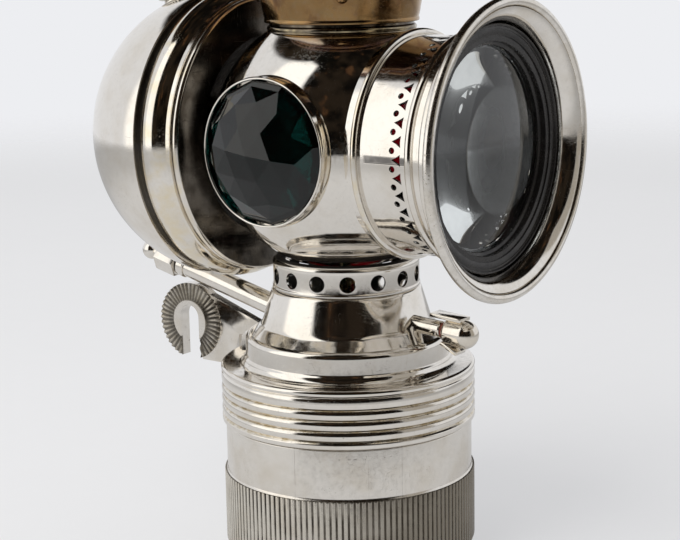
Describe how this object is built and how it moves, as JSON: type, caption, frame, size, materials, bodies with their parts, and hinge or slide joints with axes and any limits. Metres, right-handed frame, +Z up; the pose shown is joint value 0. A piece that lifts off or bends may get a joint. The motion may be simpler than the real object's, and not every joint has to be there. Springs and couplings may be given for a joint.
{
  "type": "carbide bicycle lamp",
  "caption": "Acetylene bicycle lamp: globe head with flared front and side jewels on a screw-on carbide container, with a water tank behind and a slotted bracket.",
  "frame": {"origin": "centre of the carbide container's underside, on the generator's axis", "axes": "+Z up along the generator's axis; the lens faces -Y; the green jewel is on -X"},
  "size_m": [0.0744, 0.1193, 0.1627],
  "materials": {
    "nickel": "bright nickel plate on brass, warm and slightly worn",
    "silvered": "silvered and polished",
    "tin": "dull tinned sheet",
    "steel": "plain spring steel",
    "rubber": "red-brown rubber",
    "felt": "felt",
    "brass": "plain brass",
    "heated_brass": "brass coloured by heat",
    "dark_metal": "darkened metal",
    "steatite": "matt steatite",
    "green_glass": "faceted green glass",
    "red_glass": "faceted red glass",
    "clear_glass": "clear glass"
  },
  "bodies": {
    "lamp": {"gas_dome": "nickel", "gas_filter": "felt", "drip_tube": "brass", "air_gallery": "nickel", "head_globe": "nickel", "green_bezel": "nickel", "green_jewel": "green_glass", "red_bezel": "nickel", "red_jewel": "red_glass", "reflector": "silvered", "burner_pillar": "brass", "burner_fork": "brass", "burner_tips": "steatite", "front_band": "nickel", "hinge_leaf_fixed": "nickel", "hinge_pin": "steel", "chimney_neck": "dark_metal", "chimney_cowl": "heated_brass", "chimney_cap": "heated_brass", "cowl_rivets": "heated_brass", "cap_legs": "heated_brass", "tank_rear": "nickel", "tank_front": "nickel", "tank_pad": "nickel", "filler_neck": "nickel", "water_tube": "nickel", "tank_outlet": "nickel", "valve_body": "nickel", "gland_nut": "nickel", "valve_seat": "brass", "bracket": "nickel", "bracket_rivets": "nickel", "relief_nipple": "nickel"},
    "gasket_ring": {"container_gasket": "rubber"},
    "container": {"carbide_container": "nickel", "carbide_cup": "tin", "bow_spring": "steel"},
    "filler_seal": {"filler_washer": "rubber"},
    "filler_lid": {"filler_cap": "nickel"},
    "needle": {"valve_needle": "brass"},
    "valve_screw": {"valve_spindle": "brass", "valve_knob": "nickel"},
    "relief_seal": {"relief_washer": "rubber"},
    "relief": {"relief_screw": "nickel"},
    "front": {"front_bell": "nickel", "hinge_leaf_front": "nickel", "lens": "clear_glass", "lens_ring": "dark_metal"}
  },
  "joints": [
    {"name": "container_lift", "type": "slide", "parent": "lamp", "child": "gasket_ring", "axis": [0, 0, -1], "range_m": [0, 0.0104]},
    {"name": "container_turn", "type": "hinge", "parent": "gasket_ring", "child": "container", "pos_m": [0, 0, 0], "axis": [0, 0, -1], "range_deg": [0, 1441]},
    {"name": "filler_lift", "type": "slide", "parent": "lamp", "child": "filler_seal", "axis": [0, 0.4695, 0.8829], "range_m": [0, 0.003]},
    {"name": "filler_turn", "type": "hinge", "parent": "filler_seal", "child": "filler_lid", "pos_m": [0, 0.0334, 0.1064], "axis": [0, 0.4695, 0.8829], "range_deg": [0, 1081]},
    {"name": "valve_lift", "type": "slide", "parent": "lamp", "child": "needle", "axis": [0, 0.9694, 0.2453], "range_m": [0, 0.0015]},
    {"name": "valve_turn", "type": "hinge", "parent": "needle", "child": "valve_screw", "pos_m": [0, 0.01922, 0.0607], "axis": [0, 0.9694, 0.2453], "range_deg": [0, 721]},
    {"name": "relief_lift", "type": "slide", "parent": "lamp", "child": "relief_seal", "axis": [0, -0.9976, -0.0698], "range_m": [0, 0.0024]},
    {"name": "relief_turn", "type": "hinge", "parent": "relief_seal", "child": "relief", "pos_m": [0, -0.01922, 0.0626], "axis": [0, -0.9976, -0.0698], "range_deg": [0, 1081]},
    {"name": "front_hinge", "type": "hinge", "parent": "lamp", "child": "front", "pos_m": [0.0291, -0.0361, 0.1064], "axis": [0, 0, 1], "range_deg": [0, 100]}
  ],
  "couplings": [
    {"joint": "container_turn", "follows": "container_lift", "rad_per_m": 2416.6},
    {"joint": "filler_turn", "follows": "filler_lift", "rad_per_m": 6283.2},
    {"joint": "valve_turn", "follows": "valve_lift", "rad_per_m": 8377.6},
    {"joint": "relief_turn", "follows": "relief_lift", "rad_per_m": 7854}
  ]
}
